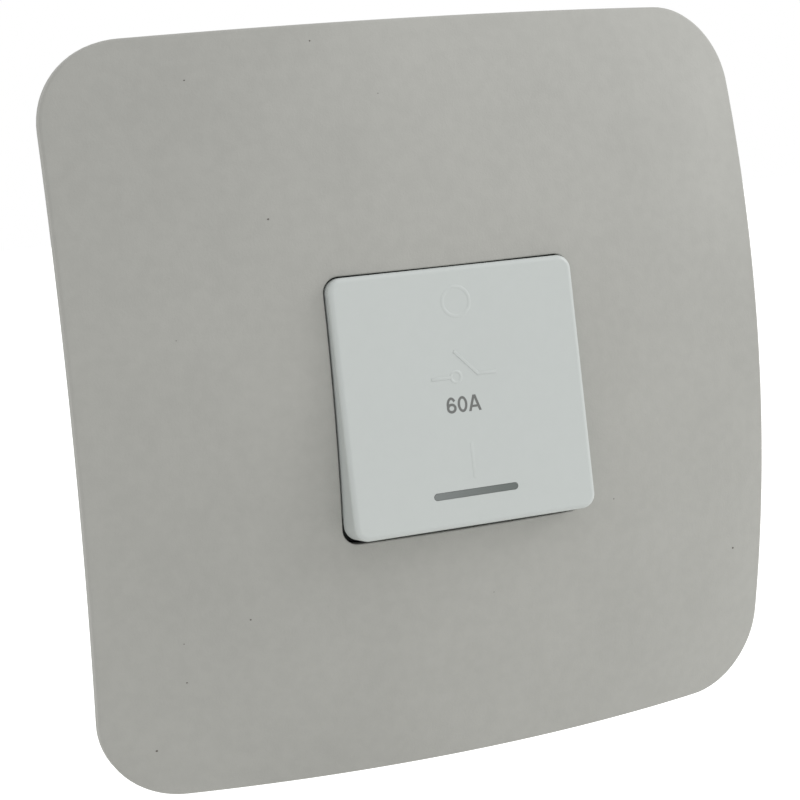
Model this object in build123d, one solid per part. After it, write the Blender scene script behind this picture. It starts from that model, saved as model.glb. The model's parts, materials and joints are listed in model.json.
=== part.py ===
from build123d import *
from math import cos, hypot, radians, sin, sqrt
import os

# Flush wall isolator switch: a domed cover plate over a pressed frame, with a two-pole rocker module.
# Millimetres. X is right and Z is up as seen from the front; the front faces -Y and the wall is y = 0.
# The origin is midway between the two wall-screw holes, on the back of the frame.

# Cover plate
plate_size = 120.0        # across the plate, corner to corner of its straight outline
plate_corner = 13.55      # outline radius at the corners
side_bow = 0.56           # how far each side swells beyond a straight line
dome_radius = 208.0       # front surface, part of a sphere
plate_wall = 2.0
wall_gap = 0.2            # the four corner tips stop this short of the wall
window_size = 42.0        # square opening for the rocker
edge_round = 0.6          # outer edge
window_round = 0.2        # edge round the opening
rib_play = 1.0            # square locating rib to the foot of the frame's raised middle
rib_wall = 1.6
rib_corner = 1.0
clip_space = 2.5          # rib to the four sprung clip legs
clip_z = 18.0
clip_width = 8.0
clip_wall = 1.8
clip_hook = 1.1
clip_land = 0.5           # flat on a hook before it slopes back
clip_reach = 2.6          # how far a leg reaches behind the frame
clip_play = 0.3

# Pressed frame
sheet = 1.2
frame_size = 100.0
frame_corner = 6.0
screw_spacing = 83.5      # wall box fixing centres
screw_hole = 4.5
platform_size = 60.0      # raised middle, at its top
platform_slope = 2.0      # extra half-width of the raised middle at its foot
press_round = 1.4
earth_x = -38.0
earth_space = 0.9         # locating rib to the earth washer, below it
earth_radius = 2.0
earth_length = 9.0
earth_head_radius = 3.8
earth_head_height = 2.4
earth_washer_size = 9.0
earth_washer_wall = 1.0
earth_washer_play = 0.2

# Rocker
rocker_side_play = 0.25   # to the window at the left and right
rocker_end_play = 0.55    # to the window at the top and bottom, where the rocker swings
rocker_corner = 2.3
rocker_round = 0.85       # edge of the pressed face
rocker_wall = 1.4
rocker_face = 1.8         # thickness under the pressed face
rocker_proud = 1.6        # face centre stands this far out of the plate's crown
pivot_depth = 6.0         # pivot behind the face
rocker_half_tilt = 5.4    # degrees each side of level
skirt_depth = 7.0         # behind the face at the middle of the sides
skirt_rise = 2.0          # how much less at the top and bottom
pin_radius = 1.5
pin_play = 0.05

# Lens in the rocker
lens_length = 14.5
lens_height = 1.15
lens_z = -15.15
lens_flange = 0.9
lens_back = 0.8
lens_lip = 0.2            # the bar runs this far into its flange
lens_play = 0.05

# Module and its housings
module_size = 43.6
flange_lip = 1.45         # front flange beyond the sleeve, each side
flange_wall = 1.5
flange_round = 0.4
module_wall = 1.8
module_corner = 2.5
partition = 1.6
module_play = 0.5         # to the frame's aperture, each side
skirt_play = 0.7          # rocker skirt to the module's front
cheek_inset = 2.4         # middle of a pivot cheek inside the rocker's side
cheek_wall = 1.6
cheek_half = 3.4
front_depth = 21.2        # pivot to the joint between front and terminal housings
terminal_depth = 22.2
cover_wall = 2.0
cover_round = 0.6
snap_play = 0.1
snap_reach = 1.1
snap_length = 3.2
snap_half = 5.0
boss_radius = 2.6
boss_depth = 11.0
fixing_play = 0.1
slot_play = 0.9           # stems to the slots in the module's front
core_wall = 1.0           # cored-out middle to the strips' slots
core_inset = 2.7          # cored-out middle to the line of the housing screws
collar_height = 1.0
collar_wall = 1.2
fixing_inset = 3.1        # four long housing screws inside the module's sides
fixing_radius = 1.25
fixing_head = 2.1
fixing_head_height = 1.4
fixing_head_round = 0.4

# Poles
pole_x = 10.5
stem_radius = 3.4
stem_length = 7.6         # behind the pivot
stem_floor = 0.6          # left in front of a stem's bore, beyond the face's thickness
plunger_radius = 2.0
plunger_play = 0.05
plunger_travel = 0.8      # until a plunger's open end meets the end of its bore
stop_play = 0.05
spring_wire = 0.25
spring_turns = 6
spring_radius = 1.2
spring_play = 0.05
plunger_cup = 7.15        # depth of the spring's cup
stem_rib = 1.4
stem_rib_gap = 0.6
fulcrum_depth = 16.7      # pivot to the moving contact's own hinge line
blade_ratio = 1.148       # contact angle for each degree of rocker
blade_width = 6.0
blade_wall = 1.2
blade_half = 16.0
blade_corner = 1.8
blade_front = 1.0         # front face ahead of the hinge line
press_play = 0.05         # plunger nose to blade when level
tip_z = 14.0
tip_radius = 2.2
tip_height = 1.2
tip_crown = 0.3
contact_play = 0.15       # left between the closed contacts
fixed_radius = 2.4
fixed_height = 1.0
fixed_edge = 0.6          # strip beyond the fixed contact
ridge_radius = 0.7
groove_play = 0.05
post_gap = 0.42           # top of the bracket's post behind the hinge line

# Terminals
terminal_inset = 6.8      # terminal screws inside the module's top and bottom
cage_outer = 9.6
cage_wall = 1.8
cage_side = 1.2
cage_length = 8.0
cage_round = 0.8
cage_lift = 1.0           # open cage's threaded wall behind the tongue
chamber_floor = 2.3
cage_travel = 4.0
cage_play = 0.3
cable_window = 6.4
strip_wall = 1.2
strip_width = 5.6
strip_play = 0.2
strip_bend = 1.0          # at the middle of the strip
tongue_play = 0.4         # end of a tongue to its chamber
leg_space = 1.7           # middle of a strip's leg to its chamber
terminal_radius = 2.5
terminal_chamfer = 0.5
thread_play = 0.05
terminal_head_radius = 3.8
terminal_head_height = 2.4
terminal_head_chamfer = 0.3
head_play = 0.5           # risen cage to the screw's head
tip_play = 0.1            # screw's tip to the tongue
driver_hole = 3.0
drive_slot = 1.0

# Lamp
lamp_radius = 1.4
lamp_length = 9.0
lamp_z = -12.8
lamp_play = 0.05
lead_radius = 0.25
lead_reach = 1.2
board_wall = 0.8
board_width = 18.0
board_height = 9.0
resistor_radius = 0.9
resistor_length = 6.0
resistor_z = -9.6
board_z = -12.0

# Making
past = 1.0                # cuts run this far past a surface
weld = 0.5                # forms of one solid run this far into each other
fit_slack = 0.1           # an edge this near to a place counts as lying there

# Worked out from the sizes above
corner_reach = (plate_size / 2 - plate_corner) * sqrt(2) + plate_corner
plate_height = dome_radius - sqrt((dome_radius - plate_wall) ** 2 - corner_reach ** 2) + wall_gap
crown_y = -plate_height
rib_half = platform_size / 2 + platform_slope + rib_play
clip_x = rib_half + rib_wall + clip_space + clip_wall / 2
earth_z = -(rib_half + rib_wall + earth_space + earth_washer_size / 2)
rocker_width = window_size - 2 * rocker_side_play
rocker_height = window_size - 2 * rocker_end_play
window_corner = rocker_corner + rocker_side_play
face_y = crown_y - rocker_proud
pivot_y = face_y + pivot_depth
module_y = face_y + skirt_depth + skirt_play
platform_y = module_y + flange_wall
cheek_x = rocker_width / 2 - cheek_inset
fixing_x = module_size / 2 - fixing_inset
terminal_z = module_size / 2 - terminal_inset
front_end = pivot_y + front_depth
terminal_end = front_end + terminal_depth
cover_end = terminal_end + cover_wall
bore_y = face_y + rocker_face + stem_floor
plunger_y = bore_y + plunger_travel + stop_play
fulcrum_y = pivot_y + fulcrum_depth
blade_tilt = rocker_half_tilt * blade_ratio
nose_y = fulcrum_y - blade_front - plunger_radius - press_play
closed = radians(blade_tilt)
closed_tip = (blade_wall - blade_front + tip_height) * cos(closed) + tip_z * sin(closed)
fixed_z = tip_z * cos(closed)
shelf_y = fulcrum_y + closed_tip + contact_play + fixed_height
chamber_y = front_end + chamber_floor
chamber_z0 = terminal_z - cage_length / 2 - cage_play
chamber_z1 = terminal_z + cage_length / 2 + cage_play
leg_z = chamber_z0 - leg_space
core_x = fixing_x - core_inset
core_z = leg_z - strip_bend - core_wall
cage_y = chamber_y + cage_play
window_y0 = cage_y + cage_wall
window_y1 = window_y0 + cable_window
tongue_y = window_y1
tongue_end = chamber_z1 - tongue_play
cage_end = tongue_y + strip_wall + cage_lift + cage_wall
head_y = cage_end + cage_travel + head_play
pivot_line = Axis((0, pivot_y, 0), (1, 0, 0))
fulcrum_line = Axis((0, fulcrum_y, 0), (1, 0, 0))


def block(x0, x1, y0, y1, z0, z1):
    """A box between two corners."""
    middle = Pos((x0 + x1) / 2, (y0 + y1) / 2, (z0 + z1) / 2)
    return middle * Box(x1 - x0, y1 - y0, z1 - z0)


def rod(x, z, y0, y1, radius):
    """A round bar along Y."""
    return Pos(x, (y0 + y1) / 2, z) * Rot(90, 0, 0) * Cylinder(radius, y1 - y0)


def bar(y, z, x0, x1, radius):
    """A round bar along X."""
    return Pos((x0 + x1) / 2, y, z) * Rot(0, 90, 0) * Cylinder(radius, x1 - x0)


def rounded_prism(width, height, corner, y0, y1):
    """A rounded rectangle on the front, run back from y0 to y1."""
    outline = RectangleRounded(width, height, corner)
    return Pos(0, y1, 0) * Rot(90, 0, 0) * extrude(outline, y1 - y0)


def front_edges(body):
    """The edges of a solid's foremost face."""
    return body.faces().sort_by(Axis.Y)[0].edges()


def back_edges(body):
    """The edges of a solid's rearmost face."""
    return body.faces().sort_by(Axis.Y)[-1].edges()


def bowed_prism(y0, y1):
    """The plate's outline: four gently bowed sides with round corners, run from y0 to y1."""
    half = plate_size / 2 - side_bow
    corners = [(-half, -half), (half, -half), (half, half), (-half, half)]
    middles = [(0, -half - side_bow), (half + side_bow, 0), (0, half + side_bow), (-half - side_bow, 0)]
    sides = [
        ThreePointArc(corners[i], middles[i], corners[(i + 1) % 4])
        for i in range(4)
    ]
    outline = make_face(sides)
    outline = fillet(outline.vertices(), plate_corner)
    return Pos(0, y1, 0) * Rot(90, 0, 0) * extrude(outline, y1 - y0)


def cover_plate():
    """The domed sheet with its window, locating rib and four clip legs."""
    centre = Pos(0, crown_y + dome_radius, 0)
    shell = centre * Sphere(dome_radius) - centre * Sphere(dome_radius - plate_wall)
    body = bowed_prism(crown_y - past, 0) & shell
    body -= rounded_prism(window_size, window_size, window_corner, crown_y - past, 0)
    front = [edge for edge in body.edges() if on_front(edge)]
    body = fillet([edge for edge in front if round_window(edge)], window_round)
    front = [edge for edge in body.edges() if on_front(edge)]
    body = fillet([edge for edge in front if not round_window(edge, window_round)], edge_round)
    outer_rib = 2 * (rib_half + rib_wall)
    rib = rounded_prism(outer_rib, outer_rib, rib_wall + rib_corner, crown_y, -sheet - clip_play)
    rib -= rounded_prism(2 * rib_half, 2 * rib_half, rib_corner, crown_y - past, 0)
    backing = centre * Sphere(dome_radius - plate_wall / 2)
    body += rib & backing
    for side in (-1, 1):
        for z in (-clip_z, clip_z):
            body += clip_leg(side, z) & backing
    return body


def on_front(edge):
    """True for an edge that lies on the dome's front surface."""
    middle = edge.position_at(0.5)
    from_centre = hypot(middle.X, middle.Y - crown_y - dome_radius, middle.Z)
    return from_centre > dome_radius - plate_wall / 4


def round_window(edge, margin=0):
    """True for an edge that lies round the opening, or within a margin of it."""
    middle = edge.position_at(0.5)
    return max(abs(middle.X), abs(middle.Z)) < window_size / 2 + margin + fit_slack


def clip_leg(side, z):
    """One leg: a flat spring with a hook that catches behind the frame."""
    inner = side * (clip_x - clip_wall / 2)
    outer = side * (clip_x + clip_wall / 2)
    hook = outer + side * clip_hook
    profile = Polyline(
        (inner, crown_y),
        (outer, crown_y),
        (outer, clip_play),
        (hook, clip_play),
        (hook, clip_play + clip_land),
        (outer - side * clip_land, clip_reach),
        (inner, clip_reach),
        close=True,
    )
    return Pos(0, 0, z - clip_width / 2) * extrude(make_face(profile), clip_width, dir=(0, 0, 1))


def frustum(half_foot, half_top, y_top):
    """A rounded square frustum from the wall plane out to y_top."""
    foot = Rot(90, 0, 0) * RectangleRounded(2 * half_foot, 2 * half_foot, frame_corner)
    top = Pos(0, y_top, 0) * Rot(90, 0, 0) * RectangleRounded(2 * half_top, 2 * half_top, frame_corner)
    return loft([foot, top])


def mounting_frame():
    """Sheet steel frame: a flat flange, a raised middle with an aperture, screw holes and clip slots."""
    half = platform_size / 2
    raised = frustum(half + platform_slope, half, platform_y)
    raised = fillet(front_edges(raised), press_round + sheet)
    hollow = frustum(half + platform_slope - sheet, half - sheet, platform_y + sheet)
    hollow = fillet(front_edges(hollow), press_round)
    body = rounded_prism(frame_size, frame_size, frame_corner, -sheet, 0)
    body = body + raised - hollow
    aperture = module_size + 2 * module_play
    body -= rounded_prism(aperture, aperture, module_corner, platform_y - past, 0)
    for z in (-screw_spacing / 2, screw_spacing / 2):
        body -= rod(0, z, -sheet - past, past, screw_hole / 2)
    slot_in = clip_x - clip_wall / 2 - clip_play
    slot_out = clip_x + clip_wall / 2 + clip_play
    slot_half = clip_width / 2 + clip_play
    for side in (-1, 1):
        for z in (-clip_z, clip_z):
            edges = sorted((side * slot_in, side * slot_out))
            body -= block(*edges, -sheet - past, past, z - slot_half, z + slot_half)
    body -= rod(earth_x, earth_z, -sheet - past, past, earth_radius + thread_play)
    return body


def earth_screw():
    """Pan-head screw in the frame for the earth wire."""
    seat = -sheet - earth_washer_wall
    top = seat - earth_head_height
    head = rod(earth_x, earth_z, top, seat, earth_head_radius)
    head = fillet(front_edges(head), earth_head_height * 0.4)
    body = head + rod(earth_x, earth_z, seat, earth_length + seat, earth_radius)
    slot = drive_slot / 2
    reach = earth_head_radius + past
    deep = seat - earth_head_height / 2
    body -= block(earth_x - reach, earth_x + reach, top - past, deep, earth_z - slot, earth_z + slot)
    return body


def earth_washer():
    """Square clamping washer under the earth screw's head."""
    half = earth_washer_size / 2
    y0 = -sheet - earth_washer_wall
    body = block(earth_x - half, earth_x + half, y0, -sheet, earth_z - half, earth_z + half)
    body -= rod(earth_x, earth_z, y0 - past, 0, earth_radius + earth_washer_play)
    return body


def cheek(side):
    """A pivot cheek standing out of the module's front, round at the rocker's pivot."""
    x0, x1 = sorted((side * (cheek_x - cheek_wall / 2), side * (cheek_x + cheek_wall / 2)))
    body = block(x0, x1, pivot_y, module_y + weld, -cheek_half, cheek_half)
    return body + bar(pivot_y, 0, x0, x1, cheek_half)


def snap(side):
    """A wedge on the sleeve that catches behind the frame's raised middle."""
    wall = side * module_size / 2
    y0 = platform_y + sheet + snap_play
    profile = Polyline(
        (wall - side * weld, y0),
        (wall + side * snap_reach, y0),
        (wall, y0 + snap_length),
        (wall - side * weld, y0 + snap_length),
        close=True,
    )
    return Pos(0, 0, -snap_half) * extrude(make_face(profile), 2 * snap_half, dir=(0, 0, 1))


def fixing_places():
    """The four housing screws' positions."""
    return [(x, z) for x in (-fixing_x, fixing_x) for z in (-fixing_x, fixing_x)]


def module_body():
    """Front housing: flange, sleeve, two contact chambers, pivot cheeks and screw bosses."""
    floor = module_y + module_wall
    flange = module_size + 2 * flange_lip
    body = rounded_prism(flange, flange, module_corner + flange_lip, module_y, platform_y)
    body = fillet(front_edges(body), flange_round)
    body += rounded_prism(module_size, module_size, module_corner, platform_y - weld, front_end)
    inside = module_size / 2 - module_wall
    for side in (-1, 1):
        x0, x1 = sorted((side * partition / 2, side * inside))
        body -= block(x0, x1, floor, front_end + past, -inside, inside)
        body += cheek(side) + snap(side)
    for x, z in fixing_places():
        body += rod(x, z, floor - weld, front_end, boss_radius)
        body -= rod(x, z, front_end - boss_depth, front_end + past, fixing_radius + thread_play)
    slot_half = stem_radius + slot_play
    for x in (-pole_x, pole_x):
        body -= block(x - slot_half, x + slot_half, module_y - past, floor + past, -slot_half, slot_half)
    body -= bar(pivot_y, 0, -module_size, module_size, pin_radius + pin_play)
    return body


def rocker():
    """The pressed rocker: hollow, with pivot pins, two plunger stems and a slot for the lens."""
    end = face_y + skirt_depth
    body = rounded_prism(rocker_width, rocker_height, rocker_corner, face_y, end)
    body = fillet(front_edges(body), rocker_round)
    inner_corner = rocker_corner - rocker_wall
    inner_width = rocker_width - 2 * rocker_wall
    inner_height = rocker_height - 2 * rocker_wall
    body -= rounded_prism(inner_width, inner_height, inner_corner, face_y + rocker_face, end + past)
    for side in (-1, 1):
        profile = Polyline(
            (end, side * cheek_half * 1.5),
            (end - skirt_rise, side * rocker_height / 2),
            (end - skirt_rise, side * rocker_height),
            (end + past, side * rocker_height),
            (end + past, side * cheek_half * 1.5),
            close=True,
        )
        body -= extrude(Plane.YZ * make_face(profile), rocker_width, both=True)
        x0, x1 = sorted((side * (cheek_x - cheek_wall / 2), side * (rocker_width - rocker_wall) / 2))
        body += bar(pivot_y, 0, x0, x1, pin_radius)
    stem_end = pivot_y + stem_length
    under = face_y + rocker_face
    body += block(-pole_x, pole_x, under - weld, pivot_y - stem_rib_gap, -stem_rib / 2, stem_rib / 2)
    for x in (-pole_x, pole_x):
        body += rod(x, 0, under - weld, stem_end, stem_radius)
    for x in (-pole_x, pole_x):
        body -= rod(x, 0, bore_y, stem_end + past, plunger_radius + plunger_play)
    body -= lens_prism(lens_length, lens_height, face_y - past, under + past)
    return body.rotate(pivot_line, -rocker_half_tilt)


def lens_prism(length, height, y0, y1):
    """A round-ended bar across the rocker's face."""
    return Pos(0, y1, lens_z) * Rot(90, 0, 0) * extrude(SlotOverall(length, height), y1 - y0)


def indicator_lens():
    """Light bar: flush in the face, with a flange behind it."""
    under = face_y + rocker_face
    body = lens_prism(lens_length - 2 * lens_play, lens_height - 2 * lens_play, face_y, under + lens_lip)
    body += lens_prism(lens_length + 2 * lens_flange, lens_height + 2 * lens_flange, under, under + lens_back)
    return body.rotate(pivot_line, -rocker_half_tilt)


def plunger(x):
    """Sprung pin in a stem, with a round nose that rides on the moving contact."""
    body = rod(x, 0, plunger_y, nose_y, plunger_radius) + Pos(x, nose_y, 0) * Sphere(plunger_radius)
    cup = spring_radius + spring_wire + spring_play
    body -= rod(x, 0, plunger_y - past, plunger_y + plunger_cup, cup)
    return body.rotate(pivot_line, -rocker_half_tilt)


def plunger_spring(x):
    """Coil spring between the bore's end and the bottom of the plunger's cup."""
    start = bore_y + spring_wire + spring_play
    length = plunger_y + plunger_cup - spring_wire - spring_play - start
    path = Helix(length / spring_turns, length, spring_radius)
    section = Plane(path @ 0, z_dir=path % 0) * Circle(spring_wire)
    coil = sweep(section, path)
    return (Pos(x, start, 0) * Rot(-90, 0, 0) * coil).rotate(pivot_line, -rocker_half_tilt)


def moving_contact(x):
    """See-saw blade with a rolled ridge that sits in the load bracket's groove."""
    front = fulcrum_y - blade_front
    x0 = x - blade_width / 2
    x1 = x + blade_width / 2
    body = block(x0, x1, front, front + blade_wall, -blade_half, blade_half)
    body = fillet(body.edges().filter_by(Axis.Y), blade_corner)
    body += bar(fulcrum_y, 0, x0, x1, ridge_radius)
    return body.rotate(fulcrum_line, blade_tilt)


def button(x, z, y0, height, radius):
    """A round contact with a low crown, standing on y0; a negative height faces the front."""
    direction = 1 if height > 0 else -1
    top = y0 + height
    ball = (radius ** 2 + tip_crown ** 2) / (2 * tip_crown)
    low, high = sorted((y0, top))
    return rod(x, z, low, high, radius) & (Pos(x, top - direction * ball, z) * Sphere(ball))


def moving_tip(x):
    """Silver contact riveted behind the blade's upper end."""
    back = fulcrum_y - blade_front + blade_wall
    return button(x, tip_z, back, tip_height, tip_radius).rotate(fulcrum_line, blade_tilt)


def fixed_contact(x):
    """Silver contact that the blade closes on."""
    return button(x, fixed_z, shelf_y, -fixed_height, fixed_radius)


def folded_strip(x, points, width):
    """A copper strip bent along points in the YZ plane, which run down its middle."""
    path = FilletPolyline(*points, radius=strip_bend)
    section = trace(path, strip_wall)
    return Pos(x - width / 2, 0, 0) * extrude(Plane.YZ * section, width, dir=(1, 0, 0))


def line_strip(x):
    """Upper strip: carries the fixed contact and runs back to the top terminal."""
    middle = strip_wall / 2
    points = [
        (shelf_y + middle, fixed_z + fixed_radius + fixed_edge),
        (shelf_y + middle, leg_z),
        (tongue_y + middle, leg_z),
        (tongue_y + middle, tongue_end),
    ]
    return folded_strip(x, points, strip_width)


def load_bracket(x):
    """Lower strip: the post that the blade rocks on, and the tongue of the bottom terminal."""
    middle = strip_wall / 2
    points = [
        (fulcrum_y, 0),
        (front_end + middle, 0),
        (front_end + middle, -leg_z),
        (tongue_y + middle, -leg_z),
        (tongue_y + middle, -tongue_end),
    ]
    body = folded_strip(x, points, strip_width)
    x0 = x - strip_width
    x1 = x + strip_width
    body -= bar(fulcrum_y, 0, x0, x1, ridge_radius + groove_play)
    body -= block(x0, x1, fulcrum_y - past, fulcrum_y + post_gap, -strip_wall, strip_wall)
    return body


def terminal_housing():
    """Rear housing: four terminal chambers, cable windows, strip slots and cored-out middle."""
    half = module_size / 2
    body = rounded_prism(module_size, module_size, module_corner, front_end, terminal_end)
    strip_half = strip_width / 2 + strip_play
    chamber_half = cage_outer / 2 + cage_play
    window = cable_window / 2
    slot_back = tongue_y + strip_wall + strip_play
    for x in (-pole_x, pole_x):
        for side in (-1, 1):
            z0, z1 = sorted((side * chamber_z0, side * chamber_z1))
            body -= block(x - chamber_half, x + chamber_half, chamber_y, terminal_end + past, z0, z1)
            z0, z1 = sorted((side * (chamber_z1 - weld), side * (half + past)))
            body -= block(x - window, x + window, window_y0, window_y1, z0, z1)
            z0, z1 = sorted((side * (leg_z - strip_bend), side * (chamber_z0 + weld)))
            body -= block(x - strip_half, x + strip_half, front_end - past, slot_back, z0, z1)
        shelf_back = shelf_y + strip_wall
        shelf_top = fixed_z + fixed_radius + fixed_edge + tongue_play
        body -= block(x - strip_half, x + strip_half, front_end - past, shelf_back, leg_z - weld, shelf_top)
        base_back = front_end + strip_wall
        post_side = strip_wall / 2 + strip_play
        body -= block(x - strip_half, x + strip_half, front_end - past, base_back, -leg_z - weld, post_side)
    for side in (-1, 1):
        x0, x1 = sorted((side * partition / 2, side * core_x))
        body -= block(x0, x1, chamber_y, terminal_end + past, -core_z, core_z)
    for x, z in fixing_places():
        body -= rod(x, z, front_end - past, terminal_end + past, fixing_radius + fixing_play)
    return body


def rear_cover():
    """Back plate with a raised collar round each screwdriver hole."""
    body = rounded_prism(module_size, module_size, module_corner, terminal_end, cover_end)
    body = fillet(back_edges(body), cover_round)
    collar_end = cover_end + collar_height
    places = [(x, z) for x in (-pole_x, pole_x) for z in (-terminal_z, terminal_z)]
    for x, z in places:
        body += rod(x, z, cover_end - weld, collar_end, driver_hole + collar_wall)
    for x, z in places:
        body -= rod(x, z, terminal_end - past, collar_end + past, driver_hole)
    for x, z in fixing_places():
        body -= rod(x, z, terminal_end - past, cover_end + past, fixing_radius + fixing_play)
    return body


def housing_screws():
    """The four long screws that hold the housings together."""
    screws = []
    for x, z in fixing_places():
        head = rod(x, z, cover_end, cover_end + fixing_head_height, fixing_head)
        head = fillet(back_edges(head), fixing_head_round)
        screws.append(head + rod(x, z, front_end - boss_depth + past, cover_end, fixing_radius))
    return Compound(screws)


def terminal_screw(x, z):
    """Clamp screw: slotted head inside the chamber, its tip on the strip's tongue."""
    body = rod(x, z, tongue_y + strip_wall + tip_play, head_y, terminal_radius)
    body = chamfer(front_edges(body), terminal_chamfer)
    end = head_y + terminal_head_height
    head = rod(x, z, head_y, end, terminal_head_radius)
    body += chamfer(back_edges(head), terminal_head_chamfer)
    slot = drive_slot / 2
    reach = terminal_head_radius + past
    body -= block(x - reach, x + reach, end - terminal_head_height / 2, end + past, z - slot, z + slot)
    return body


def terminal_cage(x, z):
    """Rising clamp: a square brass loop with a threaded rear wall."""
    half = cage_outer / 2
    body = block(x - half, x + half, cage_y, cage_end, z - cage_length / 2, z + cage_length / 2)
    body = fillet(body.edges().filter_by(Axis.Z), cage_round)
    inner = half - cage_side
    body -= block(x - inner, x + inner, cage_y + cage_wall, cage_end - cage_wall, z - cage_length, z + cage_length)
    body -= rod(x, z, cage_end - cage_wall - past, cage_end + past, terminal_radius + thread_play)
    return body


def lamp_board():
    """Small board for the lamp, on the module's front under the rocker."""
    z0 = board_z - board_height / 2
    half = board_width / 2
    return block(-half, half, module_y - board_wall, module_y, z0, z0 + board_height)


def leaded(z, radius, length):
    """A round body lying on the board along X, with a wire lead bent down at each end."""
    y = module_y - board_wall - radius - lamp_play
    half = length / 2
    body = bar(y, z, -half, half, radius)
    body = fillet(body.edges().filter_by(GeomType.CIRCLE), radius * 0.6)
    for side in (-1, 1):
        x0, x1 = sorted((side * (half - lead_radius), side * (half + lead_reach)))
        body += bar(y, z, x0, x1, lead_radius)
        body += rod(side * (half + lead_reach), z, y - lead_radius, module_y - board_wall, lead_radius)
    return body


nodes = {
    "cover_plate": cover_plate(),
    "mounting_frame": mounting_frame(),
    "earth_screw": earth_screw(),
    "earth_washer": earth_washer(),
    "module_body": module_body(),
    "terminal_housing": terminal_housing(),
    "rear_cover": rear_cover(),
    "housing_screws": housing_screws(),
    "rocker": rocker(),
    "indicator_lens": indicator_lens(),
    "lamp_board": lamp_board(),
    "indicator_lamp": leaded(lamp_z, lamp_radius, lamp_length),
    "lamp_resistor": leaded(resistor_z, resistor_radius, resistor_length),
}
for pole, x in (("left", -pole_x), ("right", pole_x)):
    nodes["plunger_" + pole] = plunger(x)
    nodes["plunger_spring_" + pole] = plunger_spring(x)
    nodes["moving_contact_" + pole] = moving_contact(x)
    nodes["moving_tip_" + pole] = moving_tip(x)
    nodes["fixed_contact_" + pole] = fixed_contact(x)
    nodes["line_strip_" + pole] = line_strip(x)
    nodes["load_bracket_" + pole] = load_bracket(x)
    for row, z in (("top", terminal_z), ("bottom", -terminal_z)):
        nodes["terminal_screw_" + row + "_" + pole] = terminal_screw(x, z)
        nodes["terminal_cage_" + row + "_" + pole] = terminal_cage(x, z)

os.makedirs("parts", exist_ok=True)
for name, shape in nodes.items():
    export_step(shape, "parts/" + name + ".step")
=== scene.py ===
import json
import math

import bmesh
import bpy
from mathutils import Matrix, Vector


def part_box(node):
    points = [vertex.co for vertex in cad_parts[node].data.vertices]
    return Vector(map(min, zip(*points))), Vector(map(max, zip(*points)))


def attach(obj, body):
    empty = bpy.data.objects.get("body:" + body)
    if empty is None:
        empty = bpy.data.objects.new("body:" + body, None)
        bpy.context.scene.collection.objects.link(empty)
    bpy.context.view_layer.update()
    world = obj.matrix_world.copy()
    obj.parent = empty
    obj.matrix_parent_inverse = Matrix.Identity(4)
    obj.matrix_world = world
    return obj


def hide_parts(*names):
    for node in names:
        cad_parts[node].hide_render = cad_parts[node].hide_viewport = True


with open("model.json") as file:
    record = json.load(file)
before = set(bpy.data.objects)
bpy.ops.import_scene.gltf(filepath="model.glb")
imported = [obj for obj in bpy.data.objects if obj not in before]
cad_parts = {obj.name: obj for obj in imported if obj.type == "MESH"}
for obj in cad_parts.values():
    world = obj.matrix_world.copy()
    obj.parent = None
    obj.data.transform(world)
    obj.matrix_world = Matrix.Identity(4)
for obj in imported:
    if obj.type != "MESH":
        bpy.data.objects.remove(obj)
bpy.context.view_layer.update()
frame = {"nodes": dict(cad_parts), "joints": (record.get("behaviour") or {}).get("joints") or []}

mm = 0.001
mergeWithin = 0.0005 * mm
sharpAbove = 35.0                                # degrees
facing = Matrix.Rotation(math.pi / 2, 4, "X")    # stands a flat shape up, to face the front
print("frame loaded:", len(frame["nodes"]), "nodes")


# Helpers for meshes

def tone(red, green, blue):
    # a display colour in 0..255, as the linear colour that a shader takes
    def linear(value):
        value /= 255
        return value / 12.92 if value <= 0.04045 else ((value + 0.055) / 1.055) ** 2.4
    return (linear(red), linear(green), linear(blue), 1.0)


def addObject(name, data):
    thing = bpy.data.objects.new(name, data)
    bpy.context.scene.collection.objects.link(thing)
    return thing


def takeMesh(bm, name):
    # the mesh of a bmesh, which is given up
    mesh = bpy.data.meshes.new(name)
    bm.to_mesh(mesh)
    bm.free()
    return mesh


def addTo(whole, bm):
    # puts the second mesh into the first and gives it up
    part = takeMesh(bm, "part")
    whole.from_mesh(part)
    bpy.data.meshes.remove(part)


def closeSeams(bm):
    bmesh.ops.remove_doubles(bm, verts=bm.verts, dist=mergeWithin)
    bmesh.ops.recalc_face_normals(bm, faces=bm.faces)


def finishPiece(name, bm, material, body, smooth=True):
    closeSeams(bm)
    mesh = takeMesh(bm, name)
    if smooth:
        mesh.shade_smooth()
        mesh.set_sharp_from_angle(angle=math.radians(sharpAbove))
    piece = addObject(name, mesh)
    mesh.materials.append(material)
    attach(piece, body)
    return piece


def transformAll(bm, matrix):
    bmesh.ops.transform(bm, matrix=matrix, verts=bm.verts)


def spun(bm, centre, profile, steps=48, closed=False):
    # a profile of (radius, y) points, turned once about a line along Y through centre (x, z)
    verts = [bm.verts.new((centre[0] + radius, y, centre[1])) for radius, y in profile]
    edges = [bm.edges.new(pair) for pair in zip(verts, verts[1:])]
    if closed:
        edges.append(bm.edges.new((verts[-1], verts[0])))
    bmesh.ops.spin(bm, geom=verts + edges, cent=(centre[0], 0.0, centre[1]), axis=(0, 1, 0),
                   angle=2 * math.pi, steps=steps, use_merge=True)


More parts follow.
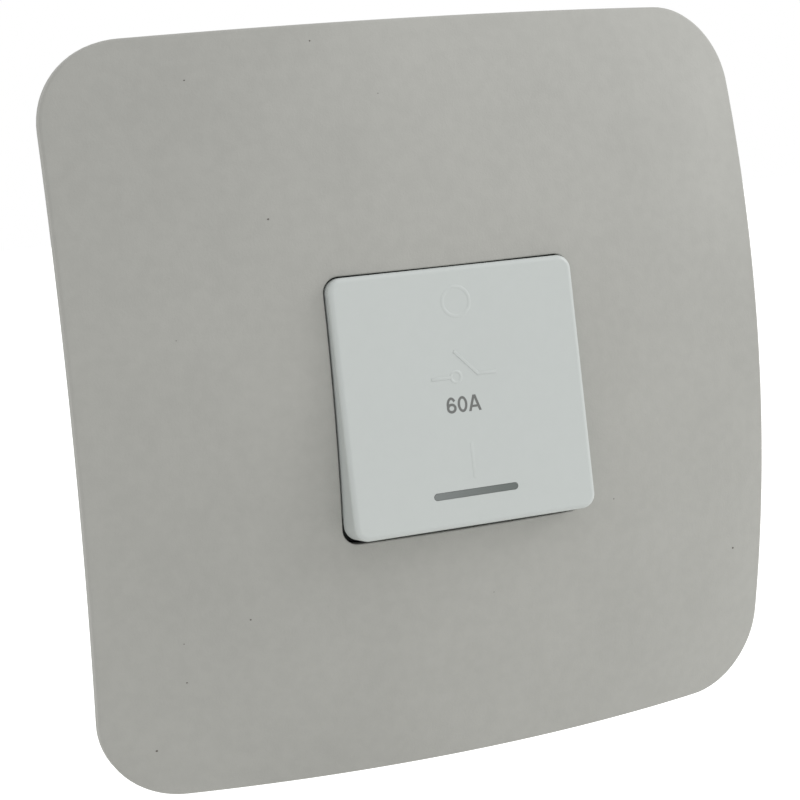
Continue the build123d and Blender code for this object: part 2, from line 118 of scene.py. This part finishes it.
def cutAway(bm, cutter):
    # the first shape less the second; both are given up and a new mesh comes back
    holders = []
    for shape in (bm, cutter):
        closeSeams(shape)
        holders.append(addObject("working", takeMesh(shape, "working")))
    step = holders[0].modifiers.new("cut", "BOOLEAN")
    step.operation = "DIFFERENCE"
    step.solver = "EXACT"
    step.object = holders[1]
    bpy.context.view_layer.update()
    cut = holders[0].evaluated_get(bpy.context.evaluated_depsgraph_get())
    mesh = bpy.data.meshes.new_from_object(cut)
    result = bmesh.new()
    result.from_mesh(mesh)
    bpy.data.meshes.remove(mesh)
    for holder in holders:
        spare = holder.data
        bpy.data.objects.remove(holder)
        bpy.data.meshes.remove(spare)
    return result


def slab(bm, low, high):
    # a box between two corners
    low, high = Vector(low), Vector(high)
    size = Matrix.Diagonal((*(high - low), 1.0))
    return bmesh.ops.create_cube(bm, size=1.0, matrix=Matrix.Translation((low + high) / 2) @ size)["verts"]


# Shader groups

surfaceOutputs = {"Color": "NodeSocketColor", "Roughness": "NodeSocketFloat", "Height": "NodeSocketFloat"}


def newGroup(name, inputs):
    group = bpy.data.node_groups.new(name, "ShaderNodeTree")
    for label, kind, value in inputs:
        socket = group.interface.new_socket(name=label, in_out="INPUT", socket_type=kind)
        if value is not None:
            socket.default_value = value
    for label, kind in surfaceOutputs.items():
        group.interface.new_socket(name=label, in_out="OUTPUT", socket_type=kind)
    return group, group.nodes.new("NodeGroupInput").outputs, group.nodes.new("NodeGroupOutput").inputs


def addNode(tree, kind, inputs=None, **values):
    # inputs: a link where a socket is given, and otherwise a plain value
    node = tree.nodes.new(kind)
    for key, value in values.items():
        setattr(node, key, value)
    for label, source in (inputs or {}).items():
        if isinstance(source, bpy.types.NodeSocket):
            tree.links.new(source, node.inputs[label])
        else:
            node.inputs[label].default_value = source
    return node


def noise(tree, vector, scale, detail=2.0, roughness=0.5):
    return addNode(tree, "ShaderNodeTexNoise", {"Vector": vector, "Scale": scale, "Detail": detail,
                                                "Roughness": roughness}).outputs["Fac"]


def combine(tree, operation, first, second):
    return addNode(tree, "ShaderNodeMath", {0: first, 1: second}, operation=operation).outputs[0]


def remap(tree, value, fromMin, fromMax, toMin=0.0, toMax=1.0):
    return addNode(tree, "ShaderNodeMapRange", {"Value": value, "From Min": fromMin, "From Max": fromMax,
                                                "To Min": toMin, "To Max": toMax}).outputs[0]


def mixColour(tree, factor, first, second):
    # sockets 6 and 7 are the colours that go in, and 2 the one that comes out
    return addNode(tree, "ShaderNodeMix", {0: factor, 6: first, 7: second}, data_type="RGBA").outputs[2]


mouldedLook = {
    "fine": {"detail": 3.0, "roughness": 0.6},
    "slow": {"scale": 24.0, "detail": 3.0, "roughness": 0.55},
    "slowRange": (0.3, 0.7),
    "mottleScale": 500.0,
    "mottleRange": (0.35, 0.65),
    "mottleShade": 0.5,        # how much the mottle darkens, where the slow drift darkens by 1
    "mottleHeight": 0.35,      # how high it stands, where the fine grain stands 1
}


def mouldedGrainGroup(m=mouldedLook):
    # fine eroded texture of a matt moulding, with a faint mottle and a slow drift of colour and gloss
    group, entry, leave = newGroup("mouldedGrain", [
        ("Vector", "NodeSocketVector", None), ("Base", "NodeSocketColor", (0.5, 0.5, 0.5, 1.0)),
        ("Grain", "NodeSocketFloat", 2600.0), ("Drift", "NodeSocketFloat", 0.05),
        ("Rough Low", "NodeSocketFloat", 0.5), ("Rough High", "NodeSocketFloat", 0.6)])
    fine = noise(group, entry["Vector"], entry["Grain"], **m["fine"])
    mottle = noise(group, entry["Vector"], m["mottleScale"])
    slow = noise(group, entry["Vector"], **m["slow"])
    dark = remap(group, mottle, *m["mottleRange"], 0.0, m["mottleShade"])
    shade = combine(group, "ADD", remap(group, slow, *m["slowRange"]), dark)
    amount = combine(group, "MULTIPLY", shade, entry["Drift"])
    black = addNode(group, "ShaderNodeHueSaturation", {"Color": entry["Base"], "Value": 0.0}).outputs[0]
    rough = remap(group, slow, *m["slowRange"], entry["Rough Low"], entry["Rough High"])
    height = combine(group, "ADD", fine, combine(group, "MULTIPLY", mottle, m["mottleHeight"]))
    group.links.new(mixColour(group, amount, entry["Base"], black), leave["Color"])
    group.links.new(rough, leave["Roughness"])
    group.links.new(height, leave["Height"])
    return group


metalLook = {
    "stretch": (1.0, 1.0, 0.06),     # the drawn lines run up and down
    "patches": {"scale": 110.0, "detail": 4.0, "roughness": 0.6},
    "stainRange": (0.42, 0.72),
    "stainShare": 0.55,
    "roughRange": (0.7, 1.3),
    "bump": 0.01 * mm,
    "bumpStrength": 0.5,
}


def drawnMetalGroup(m=metalLook):
    # drawn or plated metal: stretched fine lines, dull patches and a little staining
    group, entry, leave = newGroup("drawnMetal", [
        ("Vector", "NodeSocketVector", None), ("Base", "NodeSocketColor", (0.6, 0.6, 0.6, 1.0)),
        ("Stain", "NodeSocketColor", (0.3, 0.3, 0.3, 1.0)), ("Lines", "NodeSocketFloat", 900.0),
        ("Rough Low", "NodeSocketFloat", 0.25), ("Rough High", "NodeSocketFloat", 0.45)])
    stretched = addNode(group, "ShaderNodeVectorMath", {0: entry["Vector"], 1: m["stretch"]},
                        operation="MULTIPLY")
    lines = noise(group, stretched.outputs[0], entry["Lines"])
    patches = noise(group, entry["Vector"], **m["patches"])
    stained = remap(group, patches, *m["stainRange"], 0.0, m["stainShare"])
    both = combine(group, "ADD", lines, patches)
    rough = remap(group, both, *m["roughRange"], entry["Rough Low"], entry["Rough High"])
    group.links.new(mixColour(group, stained, entry["Base"], entry["Stain"]), leave["Color"])
    group.links.new(rough, leave["Roughness"])
    group.links.new(lines, leave["Height"])
    return group


grain = mouldedGrainGroup()
drawn = drawnMetalGroup()


# Materials

def newMaterial(name):
    material = bpy.data.materials.new(name)
    material.use_nodes = True
    tree = material.node_tree
    place = tree.nodes.new("ShaderNodeTexCoord").outputs["Object"]
    return material, tree, tree.nodes["Principled BSDF"], place


def plugIn(tree, shader, node, distance, strength):
    tree.links.new(node.outputs["Color"], shader.inputs["Base Color"])
    tree.links.new(node.outputs["Roughness"], shader.inputs["Roughness"])
    bump = addNode(tree, "ShaderNodeBump", {"Height": node.outputs["Height"], "Strength": strength,
                                            "Distance": distance})
    tree.links.new(bump.outputs[0], shader.inputs["Normal"])


plasticGloss = {"ior": 1.49, "coatRoughness": 0.25}


def dressPlastic(tree, shader, place, colour, grainScale, drift, rough, bump):
    node = addNode(tree, "ShaderNodeGroup", {
        "Vector": place, "Base": colour, "Grain": grainScale, "Drift": drift,
        "Rough Low": rough[0], "Rough High": rough[1]}, node_tree=grain)
    plugIn(tree, shader, node, bump * mm, 1.0)
    shader.inputs["IOR"].default_value = plasticGloss["ior"]


def mouldedPlastic(name, colour, grainScale, drift, rough, bump, coat=0.0):
    material, tree, shader, place = newMaterial(name)
    dressPlastic(tree, shader, place, colour, grainScale, drift, rough, bump)
    shader.inputs["Coat Weight"].default_value = coat
    shader.inputs["Coat Roughness"].default_value = plasticGloss["coatRoughness"]
    return material


smokedLook = {
    # painted shading: the bar's tone at its two ends, lighter at the left and darker at the right as the
    # light falls on it
    "left": tone(123, 128, 127),
    "right": tone(100, 107, 104),
    "reach": 7.0 * mm,
    "grain": 1200.0,
    "drift": 0.06,
    "rough": (0.30, 0.38),
    "bump": 0.01,
}


def smokedLens(m=smokedLook):
    # the light bar: a smoked moulding, with painted shading that makes it a little darker towards its right
    # end
    material, tree, shader, place = newMaterial("lensSmoke")
    across = addNode(tree, "ShaderNodeSeparateXYZ", {0: place}).outputs["X"]
    colour = mixColour(tree, remap(tree, across, -m["reach"], m["reach"]), m["left"], m["right"])
    dressPlastic(tree, shader, place, colour, m["grain"], m["drift"], m["rough"], m["bump"])
    return material


def drawnMetal(name, colour, stain, lines, rough):
    material, tree, shader, place = newMaterial(name)
    node = addNode(tree, "ShaderNodeGroup", {
        "Vector": place, "Base": colour, "Stain": stain, "Lines": lines,
        "Rough Low": rough[0], "Rough High": rough[1]}, node_tree=drawn)
    plugIn(tree, shader, node, metalLook["bump"], metalLook["bumpStrength"])
    shader.inputs["Metallic"].default_value = 1.0
    return material


lampLook = {"colour": tone(244, 222, 204), "rough": (0.05, 0.2), "scale": 400.0, "clear": 0.8, "ior": 1.47}


def lampGlass(m=lampLook):
    material, tree, shader, place = newMaterial("lampGlass")
    rough = remap(tree, noise(tree, place, m["scale"]), 0.0, 1.0, *m["rough"])
    tree.links.new(rough, shader.inputs["Roughness"])
    shader.inputs["Base Color"].default_value = m["colour"]
    shader.inputs["Transmission Weight"].default_value = m["clear"]
    shader.inputs["IOR"].default_value = m["ior"]
    return material


# Plastics: colour, grain in noise scale, drift, least and most roughness, bump in mm.
# Metals: colour, stain, lines in noise scale, least and most roughness.
finishes = {
    "plate": mouldedPlastic("plateMatt", tone(173, 173, 168), 2600.0, 0.07, (0.58, 0.68), 0.03),
    "rocker": mouldedPlastic("rockerSatin", tone(196, 201, 199), 1500.0, 0.02, (0.38, 0.44), 0.006,
                             coat=0.12),
    "lens": smokedLens(),
    "ink": mouldedPlastic("printGrey", tone(114, 116, 114), 3000.0, 0.10, (0.5, 0.6), 0.01),
    "dust": mouldedPlastic("darkSpeck", tone(100, 96, 90), 3000.0, 0.2, (0.7, 0.8), 0.01),
    "housing": mouldedPlastic("housingMoulding", tone(214, 214, 208), 1800.0, 0.06, (0.42, 0.52), 0.02),
    "module": mouldedPlastic("darkMoulding", tone(58, 59, 59), 1800.0, 0.06, (0.48, 0.58), 0.02),
    "plunger": mouldedPlastic("plungerMoulding", tone(228, 226, 216), 2000.0, 0.04, (0.3, 0.38), 0.01),
    "board": mouldedPlastic("boardResin", tone(176, 144, 88), 900.0, 0.18, (0.5, 0.6), 0.02),
    "resistor": mouldedPlastic("resistorLacquer", tone(196, 168, 122), 1500.0, 0.08, (0.25, 0.32), 0.01,
                               coat=0.5),
    "zinc": drawnMetal("zincSheet", tone(196, 200, 204), tone(174, 179, 186), 500.0, (0.30, 0.48)),
    "steel": drawnMetal("platedSteel", tone(206, 206, 204), tone(168, 168, 166), 1400.0, (0.22, 0.36)),
    "brass": drawnMetal("brassClamp", tone(214, 184, 112), tone(168, 132, 72), 1000.0, (0.24, 0.40)),
    "copper": drawnMetal("copperStrip", tone(206, 138, 106), tone(150, 92, 66), 1000.0, (0.26, 0.42)),
    "silver": drawnMetal("silverFace", tone(232, 230, 226), tone(196, 190, 182), 1600.0, (0.16, 0.30)),
    "glass": lampGlass(),
}
print("materials built:", len(finishes))


# Finishes of the construction's own pieces, by the start of a piece's name
nodeFinish = {
    "cover_plate": "plate", "mounting_frame": "zinc", "earth_screw": "steel", "earth_washer": "brass",
    "module_body": "module", "terminal_housing": "housing", "rear_cover": "housing",
    "housing_screws": "steel", "rocker": "rocker", "indicator_lens": "lens", "lamp_board": "board",
    "indicator_lamp": "glass", "lamp_resistor": "resistor", "plunger_spring": "steel",
    "plunger": "plunger", "moving_contact": "copper", "moving_tip": "silver", "fixed_contact": "silver",
    "line_strip": "copper", "load_bracket": "copper", "terminal_screw": "steel", "terminal_cage": "brass",
}
for name, node in frame["nodes"].items():
    start = max((key for key in nodeFinish if name.startswith(key)), key=len)
    for materialSlot in node.material_slots:
        materialSlot.material = finishes[nodeFinish[start]]
print("construction dressed")


# The rocker's marks stand on its tilted face, so they are made level and then turned with it

tilt = next(joint for joint in frame["joints"] if joint["name"] == "rocker_tilt")
halfTilt = math.radians(tilt["range_deg"][1] / 2)
levelToRest = Matrix.Translation(Vector(tilt["pos_m"])) @ Matrix.Rotation(-halfTilt, 4, "X")
restToLevel = levelToRest.inverted()
rockerFace = min((restToLevel @ vert.co).y for vert in frame["nodes"]["rocker"].data.vertices)
onFace = levelToRest @ Matrix.Translation((0.0, rockerFace, 0.0))

# a raised ring's low rounded section, in shares of half its width and of its height
ringSection = [(-1.0, 0.0), (-0.62, -0.72), (0.0, -1.0), (0.62, -0.72), (1.0, 0.0), (1.0, 0.4), (-1.0, 0.4)]
strokeForm = {
    "sunk": 0.4,      # how far a raised stroke's foot lies inside the face, as a share of its height
    "round": 0.8,     # how much of its height the rounding of its front edges takes
}


def raisedRing(bm, centre, m):
    half = m["stroke"] / 2
    profile = [(m["radius"] + across * half, depth * m["relief"]) for across, depth in ringSection]
    spun(bm, centre, profile, steps=72, closed=True)


def raisedStroke(bm, start, end, width, height, form=strokeForm):
    # between two points (x, z) on the level face, with ends that reach half a width past them
    along = Vector((end[0] - start[0], 0.0, end[1] - start[1]))
    middle = Vector(((start[0] + end[0]) / 2, -height * (1 - form["sunk"]) / 2, (start[1] + end[1]) / 2))
    turn = Matrix.Rotation(-math.atan2(along.z, along.x), 4, "Y")
    size = Matrix.Diagonal((along.length + width, height * (1 + form["sunk"]), width, 1.0))
    made = bmesh.ops.create_cube(bm, size=1.0, matrix=Matrix.Translation(middle) @ turn @ size)
    edges = {edge for vert in made["verts"] for edge in vert.link_edges}
    front = [edge for edge in edges if all(vert.co.y < middle.y for vert in edge.verts)]
    bmesh.ops.bevel(bm, geom=front, offset=height * form["round"], segments=3, affect="EDGES",
                    profile=0.5, material=-1)


def raisedMark(name, bm):
    transformAll(bm, onFace)
    finishPiece(name, bm, finishes["rocker"], "rocker")


offRing = {"centre": (0.0, 14.9 * mm), "radius": 2.3 * mm, "stroke": 0.62 * mm, "relief": 0.06 * mm}


def offMark(m=offRing):
    bm = bmesh.new()
    raisedRing(bm, m["centre"], m)
    raisedMark("mark_off_ring", bm)


onLine = {"x": 0.05 * mm, "top": -7.6 * mm, "foot": -12.7 * mm, "stroke": 0.5 * mm, "relief": 0.024 * mm}


def onMark(m=onLine):
    bm = bmesh.new()
    raisedStroke(bm, (m["x"], m["top"]), (m["x"], m["foot"]), m["stroke"], m["relief"])
    raisedMark("mark_on_line", bm)


isolator = {
    "level": 3.15 * mm,
    "leftEnd": -5.25 * mm,
    "rightEnd": 5.4 * mm,
    "ringX": -1.35 * mm,
    "radius": 0.85 * mm,
    "bladeTop": (-1.1 * mm, 7.0 * mm),
    "bladeFoot": 2.45 * mm,
    "footLift": 0.15 * mm,     # the blade's foot and the right arm stand this much higher
    "stroke": 0.5 * mm,
    "relief": 0.075 * mm,
    "armShare": 0.9,           # the arms' relief, as a share of the blade's and the ring's
}


def isolatorSymbol(m=isolator):
    bm = bmesh.new()
    raisedRing(bm, (m["ringX"], m["level"]), m)
    foot = (m["bladeFoot"], m["level"] + m["footLift"])
    low = m["relief"] * m["armShare"]
    raisedStroke(bm, (m["leftEnd"], m["level"]), (m["ringX"] - m["radius"], m["level"]), m["stroke"], low)
    raisedStroke(bm, m["bladeTop"], foot, m["stroke"], m["relief"])
    raisedStroke(bm, foot, (m["rightEnd"], foot[1]), m["stroke"], low)
    raisedMark("mark_isolator_symbol", bm)


# The rating is printed: thin strokes of ink, 6, 0 and A, made level on the face and then turned with it
rating = {
    "centre": (-0.50 * mm, -1.2 * mm),
    "height": 2.53 * mm,
    "stroke": 0.41 * mm,
    "thickness": 0.02 * mm,
    "step": 0.004 * mm,        # strokes that cross lie this much over one another
    "digitWidth": 1.65 * mm,
    "letterWidth": 2.24 * mm,
    "gap": 0.24 * mm,
    "letterGap": 0.13 * mm,
    "bowl": 0.62,              # height of the 6's bowl, as a share of the height
    "hook": 38.0,              # where the top of the 6 ends, in degrees above its middle
    "bar": 0.30,               # the A's cross stroke, from its foot, as a share of the height
    "barStroke": 0.9,          # its thickness, as a share of the stroke
    "apex": 0.2,               # how near the A's legs come at the top, as a share of the stroke
}


def ovalBand(bm, centre, width, height, stroke, lift=0.0):
    # a flat oval ring in the XZ plane
    upright = Matrix.Translation((centre[0], -lift, centre[1])) @ facing
    edges = set()
    for shrink in (0.0, stroke):
        size = Matrix.Diagonal((width / 2 - shrink, height / 2 - shrink, 1.0, 1.0))
        loop = bmesh.ops.create_circle(bm, segments=56, radius=1.0, matrix=upright @ size)
        edges |= {edge for vert in loop["verts"] for edge in vert.link_edges}
    return bmesh.ops.bridge_loops(bm, edges=list(edges))["faces"]


def flatBar(bm, place, halfWidth, halfHeight):
    size = Matrix.Diagonal((halfWidth, 1.0, halfHeight, 1.0))
    bmesh.ops.create_grid(bm, x_segments=1, y_segments=1, size=1.0, matrix=place @ size @ facing)


def sixStrokes(bm, x, r=rating):
    middleZ = r["centre"][1]
    bowlHeight = r["height"] * r["bowl"]
    bowlMiddle = middleZ - r["height"] / 2 + bowlHeight / 2
    ovalBand(bm, (x, bowlMiddle), r["digitWidth"], bowlHeight, r["stroke"], r["step"])
    unwanted = []
    for face in ovalBand(bm, (x, middleZ), r["digitWidth"], r["height"], r["stroke"]):
        middle = face.calc_center_median()
        rise = math.atan2((middle.z - middleZ) / r["height"], (middle.x - x) / r["digitWidth"])
        if middle.z < bowlMiddle or abs(math.degrees(rise)) < r["hook"]:
            unwanted.append(face)
    bmesh.ops.delete(bm, geom=unwanted, context="FACES")


def letterStrokes(bm, x, r=rating):
    # two leaning legs, trimmed level at the foot and the top, and a cross stroke
    middleZ = r["centre"][1]
    low, high = middleZ - r["height"] / 2, middleZ + r["height"] / 2
    reach = (r["letterWidth"] - r["stroke"]) / 2
    lean = math.atan2(reach - r["stroke"] * r["apex"], r["height"])
    for side, lift in ((-1, 0.0), (1, r["step"])):
        leg = bmesh.new()
        turn = Matrix.Rotation(-side * lean, 4, "Y")
        place = Matrix.Translation((x + side * reach / 2, -lift, middleZ)) @ turn
        flatBar(leg, place, r["stroke"] / 2, r["height"])
        for level, outward in ((low, -1), (high, 1)):
            everything = leg.verts[:] + leg.edges[:] + leg.faces[:]
            bmesh.ops.bisect_plane(leg, geom=everything, plane_co=(0, 0, level), plane_no=(0, 0, outward),
                                   clear_outer=True)
        addTo(bm, leg)
    place = Matrix.Translation((x, -2 * r["step"], low + r["height"] * r["bar"]))
    flatBar(bm, place, reach * (1 - r["bar"]), r["stroke"] * r["barStroke"] / 2)


def ratingPrint(r=rating):
    bm = bmesh.new()
    whole = 2 * r["digitWidth"] + r["letterWidth"] + r["gap"] + r["letterGap"]
    left = r["centre"][0] - whole / 2
    sixStrokes(bm, left + r["digitWidth"] / 2)
    zeroX = left + r["digitWidth"] * 1.5 + r["gap"]
    ovalBand(bm, (zeroX, r["centre"][1]), r["digitWidth"], r["height"], r["stroke"])
    letterStrokes(bm, left + whole - r["letterWidth"] / 2)
    bm.normal_update()
    bmesh.ops.reverse_faces(bm, faces=[face for face in bm.faces if face.normal.y > 0])
    bmesh.ops.solidify(bm, geom=bm.faces[:], thickness=r["thickness"])
    front = min(vert.co.y for vert in bm.verts)
    transformAll(bm, onFace @ Matrix.Translation((0.0, -front - r["thickness"], 0.0)))
    finishPiece("rating_print", bm, finishes["ink"], "rocker", smooth=False)


offMark()
onMark()
isolatorSymbol()
ratingPrint()
print("rocker marks made")


# Screws with wound threads and driver recesses, in place of the construction's plain ones

threadForm = {
    "root": 0.9,       # the ridge starts inside the core, at this share of its radius
    "flank": 0.45,     # half the ridge's width at its root, in pitches
    "entry": 0.6,      # where the first turn starts, in pitches
    "steps": 24,
}
# a pan head's outline from the middle of its top, in shares of its radius and of its height
panShape = [(0.0, 0.0), (0.55, 0.03), (0.82, 0.16), (0.96, 0.38), (1.0, 0.62), (1.0, 1.0)]
cutPast = 1.0 * mm     # how far a recess's cutter stands out of the head
slotReach = 5.0 * mm   # half a slot cutter's length, more than any head's radius


def threadRidge(bm, centre, m, start, end, form=threadForm):
    # one sharp ridge wound round a shank that runs along Y
    pitch = m["pitch"]
    turns = int((end - start) / pitch) - 1
    first = start + form["entry"] * pitch
    corners = [(m["core"] * form["root"], -form["flank"] * pitch), (m["thread"], 0.0),
               (m["core"] * form["root"], form["flank"] * pitch)]
    verts = [bm.verts.new((centre[0] + radius, first + y, centre[1])) for radius, y in corners]
    bmesh.ops.spin(bm, geom=[bm.faces.new(verts)], cent=(centre[0], 0.0, centre[1]), axis=(0, 1, 0),
                   dvec=(0.0, pitch / form["steps"], 0.0), angle=2 * math.pi * turns,
                   steps=form["steps"] * turns)


def panHead(m, top, seat):
    return [(m["headRadius"] * across, top + (seat - top) * down) for across, down in panShape]


def nodeBox(node):
    # lowest and highest corner of a construction piece, and its middle (x, z)
    low, high = [Vector(corner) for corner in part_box(node)]
    return low, high, ((low.x + high.x) / 2, (low.z + high.z) / 2)


def slottedScrew(node, body, m, centre, outline, slotSpan, threadSpan):
    # outline: the turned shape; slotSpan and threadSpan: from and to, along Y
    bm = bmesh.new()
    spun(bm, centre, outline)
    cutter = bmesh.new()
    slab(cutter, (centre[0] - slotReach, slotSpan[0], centre[1] - m["slotWidth"] / 2),
         (centre[0] + slotReach, slotSpan[1], centre[1] + m["slotWidth"] / 2))
    bm = cutAway(bm, cutter)
    threadRidge(bm, centre, m, *threadSpan)
    piece = finishPiece(node + "_threaded", bm, finishes["steel"], body)
    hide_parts(node)


earthScrew = {
    "thread": 2.0 * mm,
    "core": 1.66 * mm,
    "pitch": 0.7 * mm,
    "headRadius": 3.8 * mm,
    "headHeight": 2.4 * mm,
    "slotWidth": 1.0 * mm,
    "slotDepth": 1.1 * mm,
    "taper": 0.5 * mm,         # length of the tapered tip
    "tip": 0.72,               # its end's radius, as a share of the core's
    "plainEnd": 0.2 * mm,
}


def earthTerminalScrew(m=earthScrew):
    low, high, centre = nodeBox("earth_screw")
    seat = low.y + m["headHeight"]
    tip = m["core"] * m["tip"]
    outline = panHead(m, low.y, seat)
    outline += [(m["core"], seat), (m["core"], high.y - m["taper"]), (tip, high.y), (0.0, high.y)]
    slottedScrew("earth_screw", "housing", m, centre, outline, (low.y - cutPast, low.y + m["slotDepth"]),
                 (seat, high.y - m["plainEnd"]))


clampScrew = {
    "thread": 2.5 * mm,
    "core": 2.1 * mm,
    "pitch": 0.8 * mm,
    "headRadius": 3.8 * mm,
    "headHeight": 2.4 * mm,
    "headBreak": 0.3 * mm,     # chamfer of the head's edge
    "slotWidth": 1.0 * mm,
    "slotDepth": 1.2 * mm,
    "taper": 0.5 * mm,
    "tip": 0.8,
}


def clampScrewPiece(node, m=clampScrew):
    low, high, centre = nodeBox(node)
    seat = high.y - m["headHeight"]
    tip = m["core"] * m["tip"]
    outline = [(0.0, low.y), (tip, low.y), (m["core"], low.y + m["taper"]), (m["core"], seat)]
    outline += [(m["headRadius"], seat), (m["headRadius"], high.y - m["headBreak"]),
                (m["headRadius"] - m["headBreak"], high.y), (0.0, high.y)]
    slottedScrew(node, node, m, centre, outline, (high.y - m["slotDepth"], high.y + cutPast), (low.y, seat))


housingScrew = {
    "headRadius": 2.1 * mm,
    "headHeight": 1.4 * mm,
    "shank": 1.25 * mm,
    "taper": 0.4 * mm,
    "tip": 0.6,
    "crossReach": 1.25 * mm,
    "crossWidth": 0.5 * mm,
    "crossDepth": 0.8 * mm,
    "crossNarrow": 0.6,        # the recess's size at its bottom, as a share of that at its top
}


def crossCutter(centre, top, wide, tall, m=housingScrew):
    cutter = bmesh.new()
    verts = slab(cutter, (centre[0] - wide, top - m["crossDepth"], centre[1] - tall),
                 (centre[0] + wide, top + cutPast, centre[1] + tall))
    for vert in verts:
        if vert.co.y < top:
            vert.co.x = centre[0] + (vert.co.x - centre[0]) * m["crossNarrow"]
            vert.co.z = centre[1] + (vert.co.z - centre[1]) * m["crossNarrow"]
    return cutter


def housingScrewSet(m=housingScrew):
    low, high = nodeBox("housing_screws")[:2]
    x = high.x - m["headRadius"]
    z = high.z - m["headRadius"]
    outline = panHead(m, high.y, high.y - m["headHeight"])
    outline += [(m["shank"], high.y - m["headHeight"]), (m["shank"], low.y + m["taper"]),
                (m["shank"] * m["tip"], low.y), (0.0, low.y)]
    whole = bmesh.new()
    for centre in ((-x, -z), (-x, z), (x, -z), (x, z)):
        bm = bmesh.new()
        spun(bm, centre, outline)
        for wide, tall in ((m["crossReach"], m["crossWidth"] / 2), (m["crossWidth"] / 2, m["crossReach"])):
            bm = cutAway(bm, crossCutter(centre, high.y, wide, tall))
        addTo(whole, bm)
    piece = finishPiece("housing_screw_set", whole, finishes["steel"], "housing")
    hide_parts("housing_screws")


earthTerminalScrew()
housingScrewSet()
for name in sorted(frame["nodes"]):
    if name.startswith("terminal_screw"):
        clampScrewPiece(name)
print("screws threaded")


# Dark specks lying on the plate, as low blobs
specks = {
    # x, z and radius of each, in mm
    "places": [(-17.4, 57.3, 0.14), (-37.6, 52.6, 0.13), (-7.9, 48.5, 0.10), (-28.1, 30.7, 0.17),
               (-44.0, 13.7, 0.08), (27.0, -20.3, 0.11), (53.0, -33.6, 0.20), (4.2, -32.4, 0.08),
               (-36.1, -31.0, 0.14), (-51.1, -51.3, 0.20), (-46.2, -40.2, 0.14), (-46.4, -33.7, 0.10)],
    "narrow": 0.8,
    "flat": 0.4,
    "before": -100.0,          # where the search for the plate's face starts, well in front of it
}


def plateSpecks(s=specks):
    bm = bmesh.new()
    plate = frame["nodes"]["cover_plate"]
    for x, z, radius in s["places"]:
        place, normal = plate.ray_cast(Vector((x, s["before"], z)) * mm, Vector((0, 1, 0)))[1:3]
        turn = normal.to_track_quat("Z", "Y").to_matrix().to_4x4()
        shape = Matrix.Diagonal((radius * mm, radius * s["narrow"] * mm, radius * s["flat"] * mm, 1.0))
        bmesh.ops.create_icosphere(bm, subdivisions=2, radius=1.0,
                                   matrix=Matrix.Translation(place) @ turn @ shape)
    finishPiece("plate_specks", bm, finishes["dust"], "housing")


plateSpecks()
print("specks laid")


# Floor, light and camera

def seenDirectly(tree):
    # 1 for rays from the camera, mirrors and glass
    path = addNode(tree, "ShaderNodeLightPath").outputs
    either = combine(tree, "MAXIMUM", path["Is Camera Ray"], path["Is Glossy Ray"])
    return combine(tree, "MAXIMUM", either, path["Is Transmission Ray"])


stage = {
    "drop": 0.16,              # metres below the origin
    "size": 8.0,
    "pale": tone(238, 238, 236),
    "roughness": 0.9,
    "white": 0.58,             # added where it is seen directly, so that it looks white
}


def paleFloor(s=stage):
    bm = bmesh.new()
    bmesh.ops.create_grid(bm, x_segments=1, y_segments=1, size=s["size"] / 2,
                          matrix=Matrix.Translation((0, 0, -s["drop"])))
    floor = addObject("floor", takeMesh(bm, "floor"))
    material, tree, shader = newMaterial("floorPale")[:3]
    shader.inputs["Base Color"].default_value = s["pale"]
    shader.inputs["Roughness"].default_value = s["roughness"]
    amount = combine(tree, "MULTIPLY", seenDirectly(tree), s["white"])
    glow = addNode(tree, "ShaderNodeEmission", {"Strength": amount})
    both = addNode(tree, "ShaderNodeAddShader", {0: shader.outputs[0], 1: glow.outputs[0]})
    tree.links.new(both.outputs[0], tree.nodes["Material Output"].inputs["Surface"])
    floor.data.materials.append(material)


room = {"colour": (1.0, 1.0, 1.0, 1.0), "strength": 0.79, "seen": 1.0}


def paleWorld(m=room):
    world = bpy.data.worlds.new("paleRoom")
    world.use_nodes = True
    tree = world.node_tree
    lit = tree.nodes["Background"]
    lit.inputs["Color"].default_value = m["colour"]
    lit.inputs["Strength"].default_value = m["strength"]
    white = addNode(tree, "ShaderNodeBackground", {"Color": m["colour"], "Strength": m["seen"]})
    both = addNode(tree, "ShaderNodeMixShader", {0: seenDirectly(tree), 1: lit.outputs[0],
                                                 2: white.outputs[0]})
    tree.links.new(both.outputs[0], tree.nodes["World Output"].inputs["Surface"])
    bpy.context.scene.world = world


softBoxes = {
    "keyLight": {"place": (0.85, -0.30, 0.50), "size": 0.5, "energy": 3.5},
    "overLight": {"place": (0.0, -0.50, 0.90), "size": 0.7, "energy": 0.8},
}


def softBox(name, m):
    # a square lamp that points at the origin
    lamp = bpy.data.lights.new(name, "AREA")
    lamp.shape = "SQUARE"
    lamp.size = m["size"]
    lamp.energy = m["energy"]
    holder = addObject(name, lamp)
    holder.location = m["place"]
    holder.rotation_euler = (-Vector(m["place"])).to_track_quat("-Z", "Y").to_euler()


view = {
    "place": (-0.12669, -0.31353, 0.04377),
    "turn": (82.313, 4.406, -22.056),     # degrees
    "lens": 92.61,
    "sensor": 36.0,
    "near": 0.01,
}


def photoCamera(v=view):
    data = bpy.data.cameras.new("photoCamera")
    data.lens = v["lens"]
    data.sensor_width = v["sensor"]
    data.clip_start = v["near"]
    camera = addObject("photoCamera", data)
    camera.location = v["place"]
    camera.rotation_euler = [math.radians(angle) for angle in v["turn"]]
    bpy.context.scene.camera = camera


paleFloor()
paleWorld()
for name, values in softBoxes.items():
    softBox(name, values)
photoCamera()
bpy.context.scene.view_settings.view_transform = "Standard"
print("stage set")
